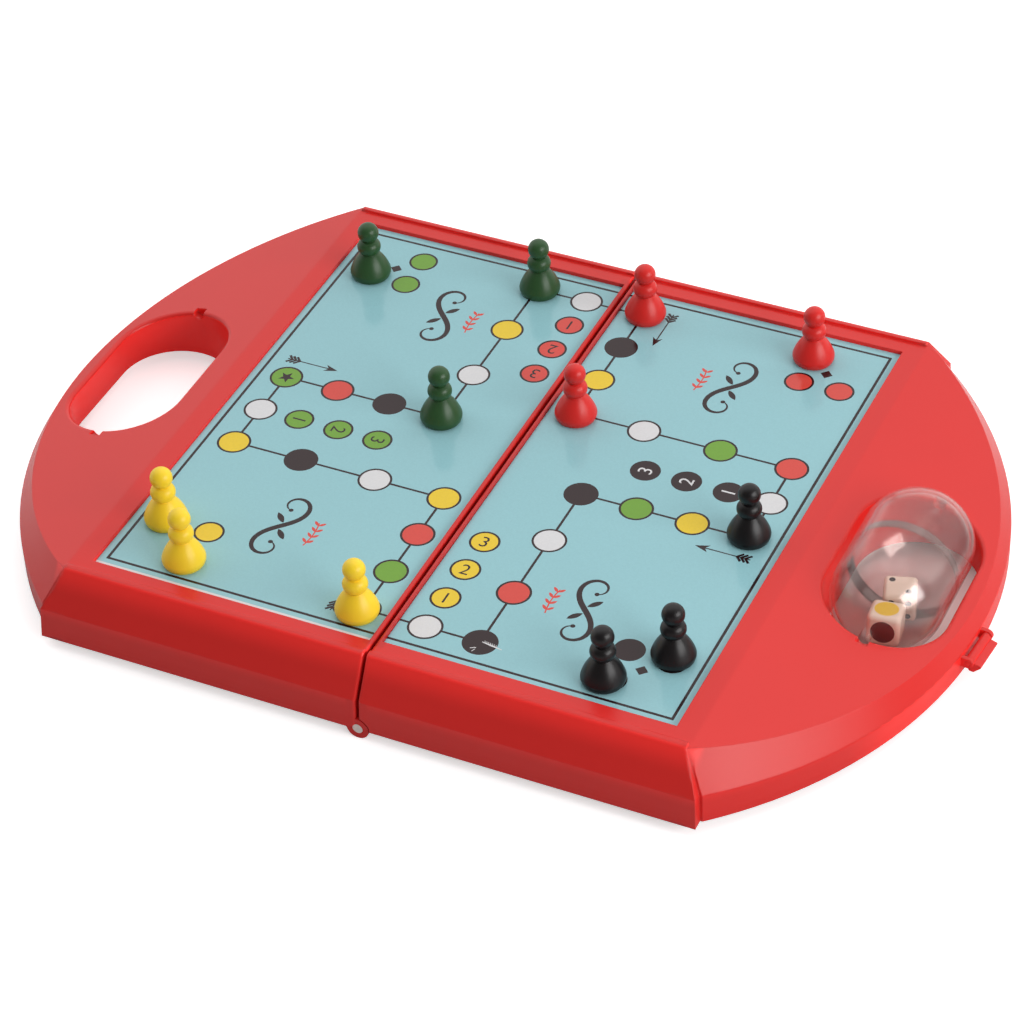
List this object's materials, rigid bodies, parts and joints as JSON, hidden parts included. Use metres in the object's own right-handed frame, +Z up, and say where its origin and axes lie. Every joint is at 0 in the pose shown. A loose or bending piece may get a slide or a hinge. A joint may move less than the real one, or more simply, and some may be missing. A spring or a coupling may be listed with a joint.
{
  "type": "folding travel ludo set",
  "caption": "Folding travel ludo in a hinged red plastic case, with a printed track board, magnetic pawns, hand holes, an end clip and a clear capsule that tumbles dice.",
  "frame": {"origin": "middle of the open set's bounding box, on the surface it stands on", "axes": "+X along the open case towards the half with the dice capsule, +Y along the hinge towards the far side, +Z up from the board"},
  "size_m": [0.3122, 0.214, 0.0439],
  "materials": {
    "red_plastic": "gloss",
    "board_print": "gloss print",
    "plate_steel": "plain",
    "pin_steel": "bright",
    "clear_plastic": "clear",
    "die_cream": "gloss",
    "pawn_yellow": "gloss",
    "pawn_green": "gloss",
    "pawn_red": "gloss",
    "pawn_black": "gloss",
    "magnet": "sintered"
  },
  "bodies": {
    "left_half": {"left_case_half": "red_plastic", "left_steel_plate": "plate_steel", "left_board_sheet": "board_print", "hinge_pin_near": "pin_steel", "hinge_pin_far": "pin_steel"},
    "right_half": {"right_case_half": "red_plastic", "right_steel_plate": "plate_steel", "right_board_sheet": "board_print"},
    "clip": {"latch_clip": "red_plastic"},
    "capsule": {"capsule_near_half": "clear_plastic", "capsule_far_half": "clear_plastic"},
    "die_with_pips": {"pipped_die": "die_cream"},
    "die_with_colours": {"colour_die": "die_cream"},
    "pawn_yellow_1": {"yellow_pawn_1": "pawn_yellow", "yellow_magnet_1": "magnet"},
    "pawn_yellow_2": {"yellow_pawn_2": "pawn_yellow", "yellow_magnet_2": "magnet"},
    "pawn_yellow_3": {"yellow_pawn_3": "pawn_yellow", "yellow_magnet_3": "magnet"},
    "pawn_green_1": {"green_pawn_1": "pawn_green", "green_magnet_1": "magnet"},
    "pawn_green_2": {"green_pawn_2": "pawn_green", "green_magnet_2": "magnet"},
    "pawn_green_3": {"green_pawn_3": "pawn_green", "green_magnet_3": "magnet"},
    "pawn_red_1": {"red_pawn_1": "pawn_red", "red_magnet_1": "magnet"},
    "pawn_red_2": {"red_pawn_2": "pawn_red", "red_magnet_2": "magnet"},
    "pawn_red_3": {"red_pawn_3": "pawn_red", "red_magnet_3": "magnet"},
    "pawn_black_1": {"black_pawn_1": "pawn_black", "black_magnet_1": "magnet"},
    "pawn_black_2": {"black_pawn_2": "pawn_black", "black_magnet_2": "magnet"},
    "pawn_black_3": {"black_pawn_3": "pawn_black", "black_magnet_3": "magnet"}
  },
  "joints": [
    {"name": "board_fold", "type": "hinge", "parent": "left_half", "child": "right_half", "pos_m": [-0.00179, 0, 0.0035], "axis": [0, 1, 0], "range_deg": [0, 180]},
    {"name": "clip_swing", "type": "hinge", "parent": "right_half", "child": "clip", "pos_m": [0.15208, -0.01217, 0.00855], "axis": [-0.0867, -0.9962, 0], "range_deg": [0, 50]},
    {"name": "capsule_spin", "type": "hinge", "parent": "right_half", "child": "capsule", "pos_m": [0.12421, 0, 0.01959], "axis": [0, 1, 0], "continuous": true},
    {"name": "pipped_die_hop", "type": "slide", "parent": "right_half", "child": "die_with_pips", "axis": [0, 0, 1], "range_m": [0, 0.008]},
    {"name": "colour_die_hop", "type": "slide", "parent": "right_half", "child": "die_with_colours", "axis": [0, 0, 1], "range_m": [0, 0.006]},
    {"name": "yellow_1_lift", "type": "slide", "parent": "left_half", "child": "pawn_yellow_1", "axis": [0, 0, 1], "range_m": [0, 0.03]},
    {"name": "yellow_2_lift", "type": "slide", "parent": "left_half", "child": "pawn_yellow_2", "axis": [0, 0, 1], "range_m": [0, 0.03]},
    {"name": "yellow_3_lift", "type": "slide", "parent": "left_half", "child": "pawn_yellow_3", "axis": [0, 0, 1], "range_m": [0, 0.03]},
    {"name": "green_1_lift", "type": "slide", "parent": "left_half", "child": "pawn_green_1", "axis": [0, 0, 1], "range_m": [0, 0.03]},
    {"name": "green_2_lift", "type": "slide", "parent": "left_half", "child": "pawn_green_2", "axis": [0, 0, 1], "range_m": [0, 0.03]},
    {"name": "green_3_lift", "type": "slide", "parent": "left_half", "child": "pawn_green_3", "axis": [0, 0, 1], "range_m": [0, 0.03]},
    {"name": "red_1_lift", "type": "slide", "parent": "right_half", "child": "pawn_red_1", "axis": [0, 0, 1], "range_m": [0, 0.03]},
    {"name": "red_2_lift", "type": "slide", "parent": "right_half", "child": "pawn_red_2", "axis": [0, 0, 1], "range_m": [0, 0.03]},
    {"name": "red_3_lift", "type": "slide", "parent": "right_half", "child": "pawn_red_3", "axis": [0, 0, 1], "range_m": [0, 0.03]},
    {"name": "black_1_lift", "type": "slide", "parent": "right_half", "child": "pawn_black_1", "axis": [0, 0, 1], "range_m": [0, 0.03]},
    {"name": "black_2_lift", "type": "slide", "parent": "right_half", "child": "pawn_black_2", "axis": [0, 0, 1], "range_m": [0, 0.03]},
    {"name": "black_3_lift", "type": "slide", "parent": "right_half", "child": "pawn_black_3", "axis": [0, 0, 1], "range_m": [0, 0.03]}
  ]
}
